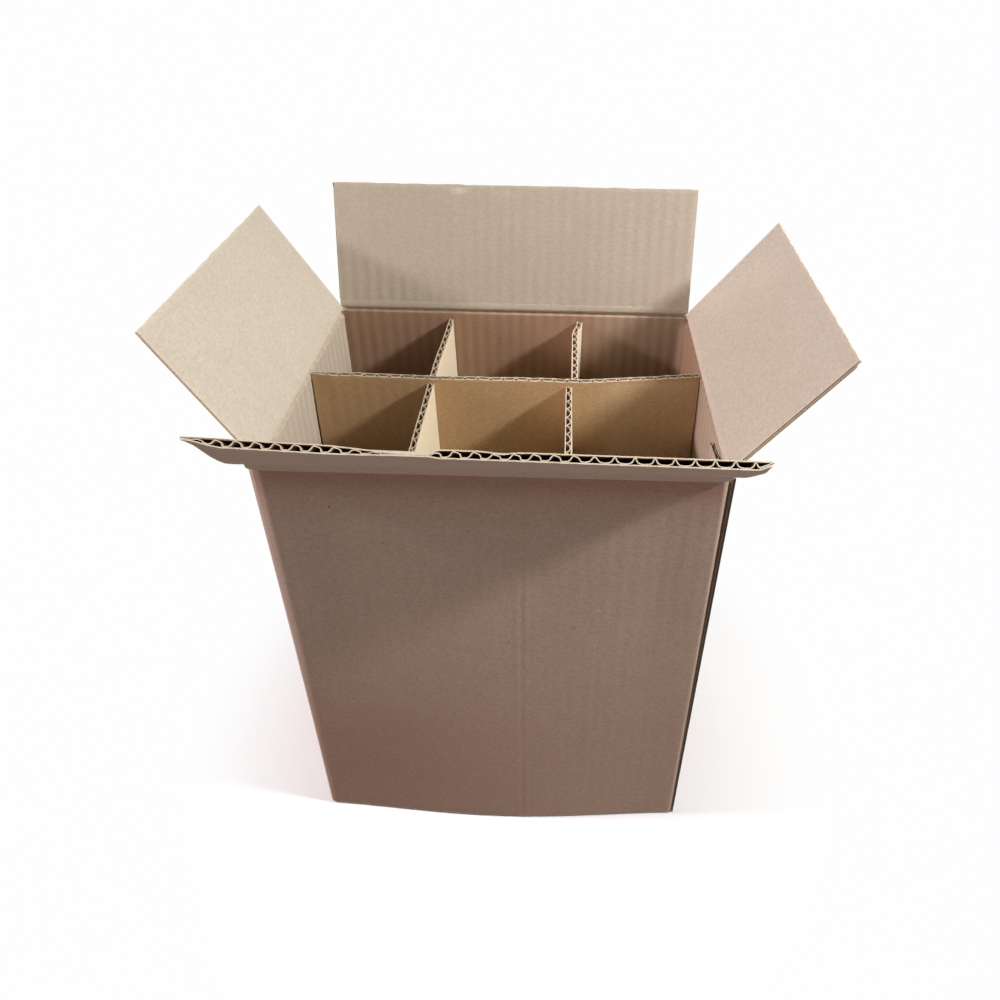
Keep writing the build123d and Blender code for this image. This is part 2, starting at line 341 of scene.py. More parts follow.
def board_materials(prefix, tones, inner, offset=(0.0, 0.0), deep=None, flute=None, **look):
    """Outer face, cut edge of a liner, inside of the flutes, cut edge of the medium, inner face."""
    cut = ((0.74, 0.63, 0.48), (0.58, 0.46, 0.32), (0.80, 0.71, 0.57))
    inside = ((0.42, 0.30, 0.19), (0.34, 0.24, 0.15), (0.50, 0.37, 0.24))
    wave_cut = ((0.70, 0.60, 0.45), (0.54, 0.43, 0.30), (0.77, 0.68, 0.54))
    beside = (offset[0] + 0.9, offset[1] + 0.4)
    return [
        kraft(prefix + "_outer", tones, offset=offset, **look),
        kraft(prefix + "_cut", cut, scale=3.0, streak=0.35, speck=0.0, worn=0.0),
        kraft(prefix + "_inside", inside, scale=2.0, streak=0.4, speck=0.1, worn=0.0),
        kraft(prefix + "_wave_cut", wave_cut, scale=3.0, streak=0.35, speck=0.0, worn=0.0),
        kraft(prefix + "_inner", inner, offset=beside, deep=deep, flute=flute, **look),
    ]


INNER_TONES = ((0.60, 0.53, 0.43), (0.55, 0.475, 0.375), (0.66, 0.595, 0.50))
OUTER_TONES = ((0.47, 0.335, 0.26), (0.43, 0.30, 0.225), (0.51, 0.375, 0.30))
# Painted shade: the back flap's inner face gets a slightly darker copy of the flaps' inner tones
BACK_SHADED_TONES = ((0.545, 0.475, 0.385), (0.50, 0.425, 0.335), (0.60, 0.53, 0.445))
# Painted shade: the inner faces of the walls get a darker, browner copy of the flaps' inner tones
WELL_SHADED_TONES = ((0.57, 0.49, 0.385), (0.53, 0.44, 0.335), (0.63, 0.55, 0.45))
# Near black: painted shadow in the raw edge's open flutes and on the carton's shaded cut edges
SHADOWED_EDGE_TONES = ((0.10, 0.07, 0.05), (0.07, 0.05, 0.035), (0.15, 0.105, 0.075))
# Painted light and shade: the dividers are one board; the long board's darker, more saturated tones are painted shade
# and the cross boards' paler ones painted light
LONG_SHADED_TONES = ((0.53, 0.345, 0.18), (0.48, 0.30, 0.15), (0.59, 0.40, 0.225))
CROSS_LIT_TONES = ((0.74, 0.635, 0.45), (0.69, 0.58, 0.39), (0.79, 0.69, 0.52))
# Specks on the front wall: x, height and size in mm, dark or pale
SPOTS = (
    (46.8, 205.7, 0.9, 0.3), (-97.3, 129.5, 0.8, 0.35), (7.0, 190.5, 0.7, 0.4), (-89.7, 298.7, 0.9, 0.3),
    (-100.4, 266.9, 0.7, 0.4), (-62.9, 272.3, 0.7, 0.4), (-40.3, 258.3, 0.6, 0.45), (-14.0, 283.4, 0.7, 0.35),
    (61.6, 221.8, 0.8, 1.5), (-40.7, 142.0, 0.7, 1.4),
)
WALL_LOOK = {"mottle": 0.95, "speck": 0.8, "streak": 0.85}

flap_mats = board_materials("kraft", OUTER_TONES, INNER_TONES, mottle=0.65, streak=0.55)
# Back flap and back crease: painted shade through the darker tones
back_inner_shaded = kraft("kraft_back_inner", BACK_SHADED_TONES, offset=(1.9, 0.7), mottle=0.55, flute=(PITCH, 0.13))
back_mats = flap_mats[:INNER_FACE] + [back_inner_shaded]
# Painted shade of the well: a darker base, and a `deep` tint where the attribute is below 0
wall_inner_shaded = kraft(
    "kraft_well", WELL_SHADED_TONES, offset=(0.9, 0.4), mottle=0.55, streak=0.8,
    deep=(0.64, 0.47, 0.39), flute=(PITCH, 0.6),
)
# The front wall's `deep` tint is painted shade, under the front flap and towards its foot
wall_outer = kraft("kraft_wall_outer", OUTER_TONES, deep=(0.72, 0.58, 0.54), spots=SPOTS, **WALL_LOOK)
raw_edge_shadow = kraft("kraft_raw_edge", SHADOWED_EDGE_TONES, scale=2.0, mottle=0.6)
wall_side = kraft("kraft_wall_side", OUTER_TONES, **WALL_LOOK)
# The carton's inside-of-flutes slot is the near-black painted shadow
box_mats = [wall_outer, flap_mats[CUT], raw_edge_shadow, flap_mats[WAVE_CUT], wall_inner_shaded, wall_side]
# The long board's `deep` above 1 paints light on its right end, where the attribute is below 0
long_mats = board_materials(
    "divider", LONG_SHADED_TONES, LONG_SHADED_TONES, offset=(3.1, 1.7), mottle=0.6, speck=0.4, streak=0.95,
    flute=(DIVIDER_PITCH, 0.1), deep=(1.22, 1.32, 1.45),
)
long_mats[FACE] = long_mats[INNER_FACE]
# The cross boards' paler face is painted light
cross_lit_face = kraft("divider_cross_face", CROSS_LIT_TONES, offset=(5.1, 2.7), mottle=0.4, speck=0.3)
cross_mats = [cross_lit_face] + long_mats[CUT:INNER_FACE] + [cross_lit_face]


# ---------------------------------------------------------------- flaps
class Flap:
    """One flap: its crease, its board, and where each point of it stands."""

    def __init__(self, name, middle, facing, half, root, lean, shift, crease, start, bow, **more):
        self.name, self.middle, self.facing = name, middle, math.radians(facing)
        self.half, self.root = half, root  # half its width at the free edge, and at the crease
        self.lean, self.shift = lean, shift  # degrees from upright, and mm sideways, at its low and high end
        self.crease, self.start = crease, start  # the crease's reach down the wall and up the flap
        self.bow = bow
        self.cut = more.get("cut", (BOARD, BOARD, BOARD))
        self.skin = more.get("skin", ((0.25, 0.2), (0.5, 0.25), (0.75, 0.15)))
        self.rounding, self.belly = more.get("rounding", 0.6), more.get("belly", 0.0)

    def side(self, s):
        """0 at the low end of the crease, 1 at the high end."""
        return (s / self.half + 1) / 2

    def turn(self, s):
        return np.radians(self.lean[0] + (self.lean[1] - self.lean[0]) * self.side(s))

    def across(self, s, d):
        part = np.clip(d / FLAP, 0, 1.05)
        moved = self.shift[0] + (self.shift[1] - self.shift[0]) * self.side(s)
        spread = (self.root - self.half) * (s / self.half)
        return s + spread * (1 - part) + moved * part

    def world(self, across, y, z):
        cos, sin = math.cos(self.facing), math.sin(self.facing)
        x0, y0, z0 = self.middle
        return np.stack([x0 + across * cos - y * sin, y0 + across * sin + y * cos, z0 + z], -1) * MM

    def blade(self, a, d, n):
        """Place across the hinge of a point d up the flap and n from its outer face, at the angle a."""
        return (
            (HINGE_OUT + n) * np.cos(a) - d * np.sin(a),
            (HINGE_OUT + n) * np.sin(a) + d * np.cos(a),
        )

    def at(self, s, d, n):
        return self.world(self.across(s, d), *self.blade(self.turn(s), d, n))

    def thick(self, s, d):
        """The knife squeezes the board along its cut edges: `cut` is what is left at both sides and the free edge."""
        low, high, free = (BOARD - c for c in self.cut)
        gone = low * (1 - smooth((s + self.half) / 5)) + high * (1 - smooth((self.half - s) / 5))
        return np.maximum(BOARD - gone - free * smooth((d - FLAP + 4.5) / 4.5), SQUEEZED)


def edge_wear(s, d, half, width=2.5):
    near = np.minimum(np.minimum(s + half, half - s), FLAP - d)
    return np.clip(1 - near / width, 0, 1)


def warp(seed, size):
    """A board is never quite flat; it only bows outwards, so that closed flaps stay clear of each other."""
    return lambda s, d: -size * (0.5 + 0.5 * waves(seed, s, d, 90)) * smooth(d / 40)


def make_flap(flap, materials, seed, crush=None, phase=0.0, lean=None, per_flute=12, relief=0.07, pitch=PITCH):
    half = flap.half
    places = np.arange(-half, half, pitch / per_flute)
    cols = (np.round((places / pitch + phase) * per_flute) / per_flute - phase) * pitch
    cols = np.concatenate([[-half], cols[np.abs(cols) < half - 0.2], [half]])
    rows = line((flap.start, flap.start + 8, 3), (flap.start + 8, 72, 7), (72, 80, 4), (80, FLAP, 8))
    s, d = np.meshgrid(cols, rows)
    ragged = 0.16 * smooth((d - 70) / (FLAP - 70))
    d = d + ragged * waves(seed, s, d * 0, 14)
    squeeze, offset = (BOARD + 0 * s, 0 * s) if crush is None else crush(s, d)
    cut = flap.thick(s, d)
    squeeze = squeeze * cut / BOARD
    offset = offset + flap.bow(s, d) + BOARD - cut
    outer, inner = flap.at(s, d, offset), flap.at(s, d, offset + squeeze)
    tilt = 0.0 if lean is None else lean(s)
    # The front flap's right end is pressed shut, and at its left tip the inner liner's cut edge takes the dark inside
    # colour, painted shade
    close, dark = (smooth((s - half + 3.5) / 3.0), cols[1:] < -101) if flap.name == "front_flap" else (0.0, None)
    shape = Shape()
    shape.board(
        outer, inner, s, d, pitch, phase + 0.1 * tilt, tilt, relief,
        wear_and_painted_light=edge_wear(s, d, half), close=close, shade=(None, dark),
    )
    obj = shape.object(flap.name + "_board", materials)
    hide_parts(flap.name)
    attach(obj, flap.name)


def make_crease(flap, materials, seed):
    """Pressed board that bends between the wall and its flap: one skin outside, a groove inside."""
    cols = np.linspace(-flap.half, flap.half, int(flap.half * 0.9))
    c, start = flap.crease, flap.start
    uneven = 0.12 * waves(seed, cols, 0 * cols, 22)
    belly = 1 + flap.belly * smooth((-cols - 96) / 20)

    def wall(n, z, sway=0.0):
        return HINGE_OUT + n + 0 * cols, z + sway * uneven

    def blade(n, d):
        return flap.blade(flap.turn(cols), d, n + flap.bow(cols, d + 0 * cols))

    def between(p, q, k, push):
        """A point part of the way from p to q, pushed to the outside."""
        return p[0] + (q[0] - p[0]) * k - push * belly, p[1] + (q[1] - p[1]) * k

    low, high = wall(0.0, -c, 1.0), blade(0.0, start)
    outer = [wall(0.0, -c - 1.4), low] + [between(low, high, k, push) for k, push in flap.skin] + [high]
    ridge, high_in = wall(BOARD + 0.1, -c + 1.9), blade(BOARD, start)
    inner = [wall(PRESSED, -c - 1.4), wall(1.0, -c, 1.0), wall(3.3, -c + 0.8, 0.5), ridge]
    inner += [between(ridge, high_in, k, -0.3) for k in np.linspace(0, 1, len(outer) - 3)[1:-1]] + [high_in]

    def grid(points):
        """The ends are rounded off towards the wall."""
        rows = []
        for number, (y, z) in enumerate(points):
            part = 1 - number / (len(points) - 1)
            end = flap.rounding * part**2 * (cols / flap.half) ** 15
            rows.append(flap.world(flap.across(cols, 0.0 * cols) - end, y, z))
        return np.stack(rows)

    s, d = np.meshgrid(cols, np.linspace(-c - 1, start, len(outer)))
    shape = Shape()
    shape.slab(grid(outer), grid(inner), s, d, 0.3, None, (FACE, INNER_FACE, CUT))
    obj = shape.object(flap.name.replace("_flap", "_crease"), materials, 28)
    middle = len(cols) // 2

    def point(p):
        return tuple(flap.world(0.0, float(p[0][middle]), float(p[1][middle])))

    point(between(low, high, 0.05, 0.0))
    point(between(low, high, 0.95, 0.0))
    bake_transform(obj)


def front_bow(s, d):
    """The front flap bows outwards, most at its two ends, and no more than it has room for when it hangs."""
    depths = (0, 5, 12, 25, 36, 47, 59, 72, 88)
    low = np.interp(d, depths, (0.0, -0.7, -1.6, -3.4, -3.6, -2.5, -1.1, -0.2, 0.0))
    high = np.interp(d, depths, (0.0, -0.5, -1.2, -2.6, -3.1, -2.8, -2.4, -1.9, -1.2))
    k = smooth((s + 122.25) / 80)
    return low * (1 - k) + high * k


def front_crush(s, d):
    """Flutes squeezed along the free edge left of the middle, at the left tip, and a small dent."""
    near = smooth((d - 75) / (FLAP - 75))
    torn = smooth((s + 66) / 40) * (1 - smooth((s + 20) / 6))
    dent = bump(s, 11, 5.0) * smooth((d - 82) / 6)
    tip = smooth((-s - 104) / 18) * smooth((d - 50) / 38)
    total = BOARD * (1 - 0.66 * near * torn - 0.22 * dent)
    corner = 1.6 * smooth((s - 116) / 6) * smooth((d - 74) / 14)
    return total - 2.5 * tip - corner, 2.6 * tip + 0.5 * near * torn + corner


def back_crush(s, d):
    """A nick and a soft dent along the top edge."""
    nick = 0.55 * bump(s, 38, 5.0) * smooth((d - 83) / 5) + 0.2 * bump(s, 4, 8.0) * smooth((d - 80) / 8)
    return BOARD * (1 - nick), 0.0 * s


front = Flap(
    "front_flap", ((FRONT_RIGHT - LONG_HALF) / 2, -AXIS_Y, LONG_Z), 0, (FRONT_RIGHT + LONG_HALF) / 2,
    root=126.9, lean=(45.5, 47.3), shift=(2.0, 1.7), crease=5.2, start=7.0, bow=front_bow,
    skin=((0.12, 0.35), (0.3, 0.6), (0.5, 0.65), (0.75, 0.35)), rounding=3.0, belly=2.2,
)
back = Flap(
    "back_flap", (0, AXIS_Y, LONG_Z), 180, LONG_HALF,
    root=125.6, lean=(2.5, 2.5), shift=(-0.8, -3.1), crease=5.0, start=1.2, bow=warp(12, 0.5), cut=(3.4, 3.4, 2.4),
)
left = Flap(
    "left_flap", (-AXIS_X, 0, SIDE_Z), -90, SIDE_HALF,
    root=84.6, lean=(30.0, 30.0), shift=(1.7, -1.0), crease=3.4, start=1.2, bow=warp(13, 0.15), cut=(2.2, 1.5, 1.5),
)
right = Flap(
    "right_flap", (AXIS_X, 0, SIDE_Z), 90, SIDE_HALF,
    root=84.6, lean=(37.0, 37.0), shift=(-0.3, 0.6), crease=3.4, start=1.2, bow=warp(14, 0.15), cut=(2.5, 2.2, 1.5),
)
make_flap(front, flap_mats, 21, front_crush, phase=-0.013, lean=lambda s: 1 - smooth((s - 35) / 25), pitch=8.24)
make_flap(back, back_mats, 22, back_crush, phase=0.1, relief=0.16)
make_flap(left, flap_mats, 23, per_flute=10)
make_flap(right, flap_mats, 24, per_flute=10)
for number, flap in enumerate((front, back, left, right)):
    make_crease(flap, back_mats if flap is back else flap_mats, 31 + number)


# ---------------------------------------------------------------- divider boards
DIVIDER_LOW, LONG_BOARD_TOP, CROSS_BOARD_TOP = 8.6, 321.95, 318.95
LONG_BOARD_Y, CROSS_BOARD_X = 4.5, 46.0
CLEARANCE = 0.3
long_height = LONG_BOARD_TOP - DIVIDER_LOW
cross_height = CROSS_BOARD_TOP - DIVIDER_LOW


def make_divider(name, length, height, place, slots, seed, crush=None):
    """A board with open slots: the long one's are cut from below, a cross board's from above."""
    is_long = name == "long_divider"
    half = length / 2
    gap = BOARD / 2 + CLEARANCE
    cols = line((-half, half, int(length / DIVIDER_PITCH * 10)))
    for x in slots:
        cols = cols[np.abs(np.abs(cols - x) - gap) > 0.25]
        cols = np.sort(np.append(cols, [x - gap, x + gap]))
    rows = line((0, 8, 3), (8, height - 30, 12), (height - 30, height - 8, 5), (height - 8, height, 5))
    cut = long_height / 2 + (CLEARANCE if is_long else -CLEARANCE)
    rows = np.sort(np.append(rows[np.abs(rows - cut) > 1.5], [cut]))
    s, d = np.meshgrid(cols, rows)
    mask = np.ones((len(rows) - 1, len(cols) - 1), bool)
    mid_s, mid_d = (cols[:-1] + cols[1:]) / 2, (rows[:-1] + rows[1:]) / 2
    for x in slots:
        mask[np.ix_(mid_d < cut if is_long else mid_d > cut, np.abs(mid_s - x) < gap)] = False
    d = d + smooth((d - height + 12) / 12) * 0.15 * waves(seed, s, 0 * s, 11)
    squeeze = BOARD + 0 * s if crush is None else crush(s, d)
    outer, inner = place(s, d, (BOARD - squeeze) * 0.5), place(s, d, (BOARD + squeeze) * 0.5)
    wear_and_painted_light = np.clip(1 - (height - d) / 3.0, 0, 1)
    # Painted light: the attribute falls below 0 towards the long board's right end, which its `deep` makes paler
    if is_long:
        wear_and_painted_light = wear_and_painted_light - smooth((s - 50) / 30)
    shape = Shape()
    shape.board(outer, inner, s, d, DIVIDER_PITCH, 0.2, 0.25, 0.05, mask, wear_and_painted_light)
    obj = shape.object(name + "_board", long_mats if is_long else cross_mats)
    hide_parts(name)
    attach(obj, "box")


def long_place(s, d, n):
    """The long board's ends are turned to the back, most at the top right."""
    top = smooth((d - 120) / 193)
    turned = 9.5 * np.clip((s - 48) / 76, 0, 1) ** 1.15 + 2.2 * np.clip((-48 - s) / 76, 0, 1)
    bend = (turned + 0.5 * waves(41, s, d, 120) * smooth((np.abs(np.abs(s) - 46) - 4) / 20)) * top
    return np.stack([s, LONG_BOARD_Y - BOARD / 2 + n + bend, DIVIDER_LOW + d], -1) * MM


def cross_place(x0, tilt, tip, seed):
    """A cross board's top is two tongues, free to lean: by `tilt`, and `tip` at each place along it."""
    def place(s, d, n):
        top = smooth((d - 150) / 160)
        shift = (tilt + tip(s) + 0.3 * waves(seed, s, d, 100)) * top
        return np.stack([x0 + BOARD / 2 - n + shift, LONG_BOARD_Y + s, DIVIDER_LOW + d], -1) * MM

    return place


def crushed(amount, end_s, width, end_d, height):
    """Thickness of a board that is crushed at the top of one end."""
    def thickness(s, d):
        beyond = smooth((np.sign(end_s) * s - abs(end_s)) / width)
        return BOARD * (1 - amount * beyond * smooth((d - end_d) / height))

    return thickness


make_divider(
    "long_divider", 248.0, long_height, long_place, (-CROSS_BOARD_X, CROSS_BOARD_X), 51,
    crushed(0.45, -108, 16, 270, 40),
)
make_divider(
    "left_cross_divider", 160.0, cross_height,
    cross_place(-CROSS_BOARD_X, -1.2, lambda s: 1.3 * smooth((s - 15) / 60), 42), (0.0,), 52,
    crushed(0.3, 66, 14, 280, 30),
)
make_divider(
    "right_cross_divider", 160.0, cross_height,
    cross_place(CROSS_BOARD_X, -1.7, lambda s: np.where(s > 0, 3.2 * smooth((s - 62) / 15), -3.6), 43), (0.0,), 53,
)


# ---------------------------------------------------------------- carton
ROWS = (
    0, 0.006, 0.02, 0.07, 0.16, 0.28, 0.4, 0.52, 0.64, 0.76, 0.87, 0.94, 0.975, 0.985, 0.992, 0.995, 0.9975, 1.0,
)


def across_wall(place, half):
    """1 in the middle of a wall, 0 at its folds."""
    return np.cos(np.clip(place / half, -1, 1) * math.pi / 2) ** 1.5


def front_belly(x):
    """How far the foot of the front wall, and the bottom flap under it, bulge to the front."""
    return 6.0 * across_wall(x, RIGHT)


def drawn_in(y):
    """How far the foot of the right wall is drawn in towards the glued corner."""
    return 3.7 * (1 - smooth((y + 88.4) / 62))


def wall_columns():
    """Places round the box, from the raw edge at the front right, by way of the back, to the end of the tab."""
    step = PITCH / 7
    columns = []

    def straight(p, q, panel, extra=()):
        length = math.dist(p, q)
        places = set(np.linspace(0, length, max(2, int(length / step))))
        for e in extra:
            places = {t for t in places if abs(t - e) > 0.4}
        for t in sorted(places | set(extra)):
            k = t / length
            columns.append((p[0] + (q[0] - p[0]) * k, p[1] + (q[1] - p[1]) * k, panel))

    def corner(x, y, start, end, panel="corner"):
        for turn in np.radians(np.linspace(start, end, 9))[1:-1]:
            columns.append((x + FOLD * np.cos(turn), y + FOLD * np.sin(turn), panel))

    x, y = RIGHT - FOLD, BACK - FOLD
    straight((RIGHT, -BACK + 0.6), (RIGHT, y), "right", (1.2, 2.4))
    corner(x, y, 0, 90)
    straight((x, BACK), (-x, BACK), "back")
    corner(-x, y, 90, 180)
    straight((-RIGHT, y), (-RIGHT, -y), "left")
    corner(-x, -y, 180, 270)
    straight((-x, -BACK), (TAB_X - FOLD, -BACK), "front")
    corner(TAB_X - FOLD, -y, 270, 360, "tab_fold")
    straight((TAB_X, -y), (TAB_X, TAB_END), "tab", (1.7, 1.9))
    return columns


class Carton:
    """The four walls and the glue tab: one strip of board, as columns of points on its outer and inner face."""

    def __init__(self):
        columns = wall_columns()
        self.panel = np.array([c[2] for c in columns])
        self.x, self.y = (np.array([c[k] for c in columns]) for k in (0, 1))
        self.s = np.concatenate([[0], np.cumsum(np.hypot(np.diff(self.x), np.diff(self.y)))])
        self.tab = self.on("tab", "tab_fold")
        self.side_wall = self.on("left", "right") & (np.abs(self.y) < SIDE_HALF + 0.05)
        self.stand_up()
        self.press()
        self.round_back_folds()
        self.round_front_left_fold()
        self.close_glued_joint()
        self.bulge()

    def on(self, *names):
        return np.isin(self.panel, names)

    def stand_up(self):
        """Plain upright walls between their creases."""
        x, y = self.x, self.y
        top, low_out, low_in = np.full(len(x), LONG_TOP), np.full(len(x), 0.9), np.full(len(x), 0.9)
        long_wall = self.on("front", "back") & (np.abs(x) < LONG_HALF + 0.05)
        low_out[long_wall], low_in[long_wall] = 2.5, BOARD
        low_out[self.side_wall], low_in[self.side_wall] = 6.8, FLOOR_TOP
        sides = self.on("left", "right")
        top[sides] = np.where(np.abs(y[sides]) > 86.2, CORNER_TOP, SIDE_TOP)
        tab = self.on("tab")
        fall = math.tan(math.radians(11)) * np.clip(y[tab] + 69.0, 0, 33)
        top[tab] = TAB_TOP - fall
        low_out[tab] = low_in[tab] = np.where(y[tab] < -84.0, 0.9, FLOOR_TOP + 6 + 2 * fall)
        rows = np.array(ROWS)[:, None]
        self.top = top
        self.z_out, self.z_in = low_out + (top - low_out) * rows, low_in + (top - low_in) * rows
        self.h = self.z_out / WALL
        inner_x = np.clip(x, -RIGHT + BOARD, RIGHT - BOARD)
        inner_y = np.clip(y, -BACK + BOARD, BACK - BOARD)
        inner_x[self.tab] = np.minimum(x[self.tab], TAB_X - BOARD)
        inner_y[self.tab] = np.maximum(y[self.tab], -BACK + BOARD)
        raw = self.on("right") & (y < -80)
        inner_y[raw] = y[raw]
        self.X, self.Y, self.XI, self.YI = (
            np.broadcast_to(v, self.z_out.shape).copy() for v in (x, y, inner_x, inner_y)
        )

    def press(self):
        """The board is pressed thin towards the creases, and the tab where the knife cut it."""
        below = self.top - self.z_out
        cut = np.minimum(smooth(below / 9), smooth((TAB_END + 0.5 - self.y) / 7))
        on_tab = np.where(self.y < -80, 1.0, 0.6 + 0.4 * cut)
        on_wall = (PRESSED + (BOARD - PRESSED) * smooth(below / 1.8)) / BOARD
        thin = np.where(self.tab, on_tab, on_wall) + np.where(self.side_wall, 0.12 * bump(below, 2.4, 1.6), 0.0)
        self.XI, self.YI = self.X + (self.XI - self.X) * thin, self.Y + (self.YI - self.Y) * thin

    def round_back_folds(self):
        """The inside of the back right fold is round, and at the back left a strip of the wall stands off."""
        x0, y0, radius = 119.0, 79.0, 6.0
        XI, YI = self.XI, self.YI
        away = np.hypot(np.maximum(XI - x0, 0), np.maximum(YI - y0, 0))
        inside = (self.x > 0) & (self.y > 0) & (XI > x0) & (YI > y0) & (away > radius)
        pull = np.where(inside, radius / np.maximum(away, 0.1), 1.0)
        pull = 1 - (1 - pull) * smooth((321.5 - self.z_out) / 6)
        XI = np.where(pull < 1, x0 + (XI - x0) * pull, XI)
        YI = np.where(pull < 1, y0 + (YI - y0) * pull, YI)
        strip = self.on("left") & (self.y > 60)
        self.XI = XI + np.where(strip, 1.5 * bump(YI, 81.5, 1.7) * smooth((self.z_out - 200) / 90), 0.0)
        self.YI = YI

    def round_front_left_fold(self):
        """This fold is rounder at the top than at the foot, has a facet at the front, and leans out at the top."""
        x, y, h, X, Y = self.x, self.y, self.h, self.X, self.Y
        radius = 1.8 + 1.9 * h
        grow = radius - FOLD
        X += np.where(self.on("front") & (x < -RIGHT + 11), grow * (1 - (X + RIGHT - FOLD) / 8), 0)
        Y += np.where(self.on("left") & (y < -BACK + 11), grow * (1 - (Y + BACK - FOLD) / 8), 0)
        fold = self.on("corner") & (x < 0) & (y < 0)
        X = np.where(fold, -RIGHT + radius + (X + RIGHT - FOLD) * radius / FOLD, X)
        Y = np.where(fold, -BACK + radius + (Y + BACK - FOLD) * radius / FOLD, Y)
        facet = 4.5 + 3.0 * h
        turn_in = 0.42 * np.clip(-RIGHT + facet - X, 0, facet) * (1 - smooth((Y + BACK) / 6)) * (x < 0)
        lean_out = 2.3 * h**2 * (1 - smooth((Y + 86.3) / 2.6)) * (1 - smooth((X + RIGHT) / 60))
        self.X, self.Y, self.XI = X - lean_out, Y + turn_in, self.XI - lean_out * ~self.on("front")

    def close_glued_joint(self):
        """Both boards are squeezed where the raw edge of the right wall meets the fold of the tab."""
        h, Y = self.h, self.Y
        toward = np.where(self.on("front"), smooth((self.x - 100) / 22), self.tab)
        out = (-0.3 + 1.7 * h) * toward * np.where(self.on("tab"), 1 - smooth((Y + 86) / 8), 1.0)
        on_right = self.on("right")
        out = out - np.where(on_right, drawn_in(Y) * (1 - h), 0.0)
        self.X, self.XI = self.X + out, self.XI + out
        pinch = 1 - smooth((Y + 88.4) / 10)
        self.XI = np.where(on_right, self.XI + pinch * (self.X - self.XI - 1.5), self.XI)

    def bulge(self):
        """Walls bulge and are not quite flat; the front one has two long soft folds and a short one."""
        X, Y, h = self.X, self.Y, self.h
        wide, deep, up = across_wall(X, RIGHT), across_wall(Y, BACK), 1 - h
        uneven = 0.3 * (waves(61, X, self.z_out, 140) - 1.3) * smooth(wide * 3) * smooth(up * 12) * smooth(h * 8)
        push = front_belly(X) * (1 - smooth(h / 0.75)) + uneven
        ridge = 0.22 * (bump(X, 12.5 - 1.5 * up, 1.5) + bump(X, 18.5 - 1.5 * up, 1.3))
        ridge = ridge - 0.1 * bump(X, 15.5 - 1.5 * up, 1.5) + 0.15 * bump(X, 60 - 2 * up, 1.6) * bump(h, 0.35, 0.25)
        middle = np.sin(h * math.pi)
        shift_y = np.where(self.on("front"), -(push + ridge * smooth(up * 20)), 0.0)
        shift_y = shift_y + np.where(self.on("back"), 1.2 * wide * middle, 0.0)
        shift_x = 0.8 * (self.on("right") * 1.0 - self.on("left")) * deep * middle
        self.outer = np.stack([X + shift_x, Y + shift_y, self.z_out], -1) * MM
        self.inner = np.stack([self.XI + shift_x, self.YI + shift_y, self.z_in], -1) * MM

    def wear_and_painted_light(self):
        """Above 0 the paper is rubbed pale, as at the folds; below 0 it is tinted darker as painted shade: inside the
        well, on the tab, under the front flap and towards the front wall's foot.
        """
        x, y, z = self.x, self.y, self.z_out
        # Painted shade: darker towards the foot of the front wall, most at its left
        shade_low_left = smooth((230 - z) / 170) * (0.35 + 0.45 * (1 - smooth((x + 110) / 190)))
        tones = (
            (self.on("corner"), 0.5),
            # Painted shade down the inside of the back wall, a little less at the right
            (self.on("back"), -smooth((326.5 - z) / 4) * (1 - 0.3 * smooth((x - 45) / 30))),
            # Painted shade on the inside of the right wall below its top, most towards the back
            (self.on("right"), -smooth((325.5 - z) / 5) * (0.45 + 0.55 * smooth((y + 20) / 60))),
            # Painted shade on the glue tab
            (self.tab, -0.35),
            # Painted shade low down inside the left wall
            (self.on("left"), -0.8 * smooth((290 - z) / 70)),
            # Painted shade under the front flap's overhang, with more painted shade towards the foot
            (self.on("front"), -(1 - smooth((324 - z) / 30)) - shade_low_left),
        )
        return sum(np.where(where, tone, 0.0) for where, tone in tones) + np.zeros_like(z)

    def add_to(self, shape):
        s = self.s
        core = np.ones((len(ROWS) - 1, len(s) - 1), bool)
        core[:, s[1:] < 2.5] = False
        # Painted shadow: the cut edges near the raw edge and along the tab's top, and the outer strip at the raw
        # edge, take the near-black colour
        dark = (s[1:] < 6.0) | self.tab[1:]
        face = np.where(self.on("front", "corner"), FACE, SIDE_FACE)[1:]
        shape.board(
            self.outer, self.inner, np.broadcast_to(s, self.z_out.shape), self.z_out, wear_and_painted_light=self.wear_and_painted_light(), core=core,
            shade=(dark, dark), face=np.where(s[1:] < RAW_EDGE_SHADOW_WIDTH, INSIDE, face),
        )


def add_bottom_flap(shape, facing, wall, low, high, base, reach):
    """A bottom flap with the fold that joins it to its wall, seen from the middle of the box."""
    turn = math.radians(facing)
    radius = 2.5
    cols = np.linspace(low, high, int((high - low) / PITCH * 7))
    out = [
        (-wall + radius + radius * math.cos(t), base + radius + radius * math.sin(t))
        for t in np.radians(np.linspace(180, 270, 6))
    ]
    ins = [(-wall + BOARD, base + BOARD + 0.02 * k) for k in range(6, 0, -1)]
    for k in (0.12, 0.35, 0.6, 0.85, 1.0):
        out.append((-wall + radius + (reach - radius) * k, base))
        ins.append((-wall + BOARD + (reach - BOARD) * k, base + BOARD))

    def place(points):
        y, z = (np.array(v)[:, None] + 0 * cols for v in zip(*points))
        grid = np.stack(
            [cols * math.cos(turn) - y * math.sin(turn), cols * math.sin(turn) + y * math.cos(turn), z], -1
        )
        if facing == 0:
            grid[:, :, 1] -= front_belly(cols) * np.clip(1 - (y + wall) / reach, 0, 1)
        if facing == 90:
            grid[:, :, 0] -= drawn_in(cols) * np.clip(1 - (y + wall) / 30, 0, 1)
        return grid * MM

    s, d = np.meshgrid(cols, np.linspace(0, reach, len(out)))
    shape.board(place(out), place(ins), s, d - 100.0, relief=0.05)


